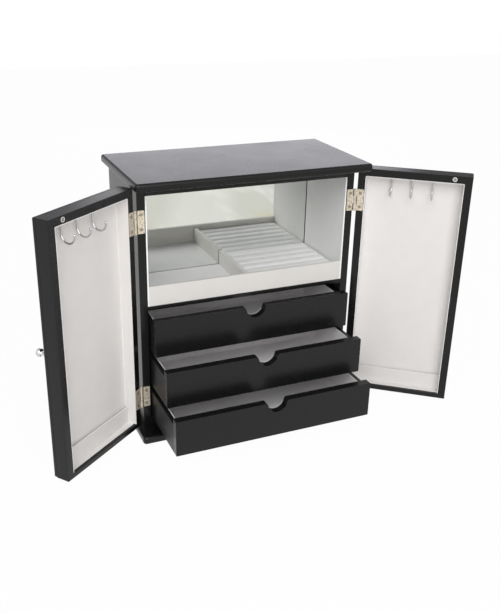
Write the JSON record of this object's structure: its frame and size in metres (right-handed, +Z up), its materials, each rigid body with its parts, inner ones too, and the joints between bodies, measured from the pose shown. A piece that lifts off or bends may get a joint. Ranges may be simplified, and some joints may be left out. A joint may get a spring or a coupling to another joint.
{
  "type": "jewelry box",
  "caption": "Cabinet-style jewelry box with hinged doors, notched drawers, a mirrored top compartment with ring rolls, and necklace hooks and pockets inside the doors",
  "frame": {"origin": "centre of the cabinet's outer width and depth, on the surface that the base board stands on", "axes": "+X to the viewer's right, +Y to the back, so the doors and drawers face -Y, and +Z up"},
  "size_m": [0.497, 0.1983, 0.3],
  "materials": {
    "black_paint": "satin black paint over smooth fibreboard",
    "drawer_wood": "satin black paint, thinner than on the fronts",
    "backing_board": "raw fibreboard",
    "mirror_glass": "silvered float glass",
    "drawer_felt": "short silver-grey felt",
    "tray_velvet": "short silver-grey velvet",
    "cream_lining": "warm off-white brushed cloth",
    "hook_chrome": "bright chrome",
    "knob_chrome": "polished chrome",
    "catch_steel": "plated steel",
    "magnet_ferrite": "sintered ferrite, dark and matt",
    "hinge_brass": "pale stamped brass plate",
    "screw_brass": "pale brass plate"
  },
  "bodies": {
    "cabinet": {"top_slab": "black_paint", "base_board": "black_paint", "left_side_panel": "black_paint", "right_side_panel": "black_paint", "back_panel": "black_paint", "head_board": "black_paint", "floor_board": "black_paint", "shelf": "black_paint", "low_divider_board": "black_paint", "high_divider_board": "black_paint", "mirror": "mirror_glass", "mirror_backing": "backing_board", "left_wall_lining": "cream_lining", "right_wall_lining": "cream_lining", "tray_floor_lining": "tray_velvet", "tray_front_wall": "cream_lining", "tray_divider": "tray_velvet", "ring_rolls": "tray_velvet", "catch_magnets": "magnet_ferrite", "cabinet_hinge_leaves": "hinge_brass", "hinge_pins": "hinge_brass", "cabinet_hinge_screws": "screw_brass"},
    "left_door": {"left_door_frame": "black_paint", "left_door_panel": "black_paint", "left_door_lining": "cream_lining", "left_door_pocket": "cream_lining", "left_door_hooks": "hook_chrome", "left_door_hinge_leaves": "hinge_brass", "left_door_screws": "screw_brass", "left_catch_washer": "catch_steel", "left_knob": "knob_chrome", "left_knob_stud": "catch_steel"},
    "right_door": {"right_door_frame": "black_paint", "right_door_panel": "black_paint", "right_door_lining": "cream_lining", "right_door_pocket": "cream_lining", "right_door_hooks": "hook_chrome", "right_door_hinge_leaves": "hinge_brass", "right_door_screws": "screw_brass", "right_catch_washer": "catch_steel", "right_knob": "knob_chrome", "right_knob_stud": "catch_steel"},
    "top_drawer": {"top_drawer_front": "black_paint", "top_drawer_box": "drawer_wood", "top_drawer_bottom": "drawer_wood", "top_drawer_felt": "drawer_felt"},
    "middle_drawer": {"middle_drawer_front": "black_paint", "middle_drawer_box": "drawer_wood", "middle_drawer_bottom": "drawer_wood", "middle_drawer_felt": "drawer_felt"},
    "bottom_drawer": {"bottom_drawer_front": "black_paint", "bottom_drawer_box": "drawer_wood", "bottom_drawer_bottom": "drawer_wood", "bottom_drawer_felt": "drawer_felt"}
  },
  "joints": [
    {"name": "left_door_hinge", "type": "hinge", "parent": "cabinet", "child": "left_door", "pos_m": [-0.1295, -0.0556, 0], "axis": [0, 0, -1], "range_deg": [-142, 10]},
    {"name": "right_door_hinge", "type": "hinge", "parent": "cabinet", "child": "right_door", "pos_m": [0.1295, -0.0556, 0], "axis": [0, 0, 1], "range_deg": [-142, 10]},
    {"name": "bottom_drawer_slide", "type": "slide", "parent": "cabinet", "child": "bottom_drawer", "axis": [0, -1, 0], "range_m": [-0.0853, 0.0062]},
    {"name": "middle_drawer_slide", "type": "slide", "parent": "cabinet", "child": "middle_drawer", "axis": [0, -1, 0], "range_m": [-0.0576, 0.0339]},
    {"name": "top_drawer_slide", "type": "slide", "parent": "cabinet", "child": "top_drawer", "axis": [0, -1, 0], "range_m": [-0.0213, 0.0702]}
  ],
  "couplings": [
    {"joint": "right_door_hinge", "follows": "left_door_hinge", "ratio": 1},
    {"joint": "bottom_drawer_slide", "follows": "left_door_hinge", "m_per_rad": 0.034418},
    {"joint": "middle_drawer_slide", "follows": "left_door_hinge", "m_per_rad": 0.023241},
    {"joint": "top_drawer_slide", "follows": "left_door_hinge", "m_per_rad": 0.0085944}
  ]
}
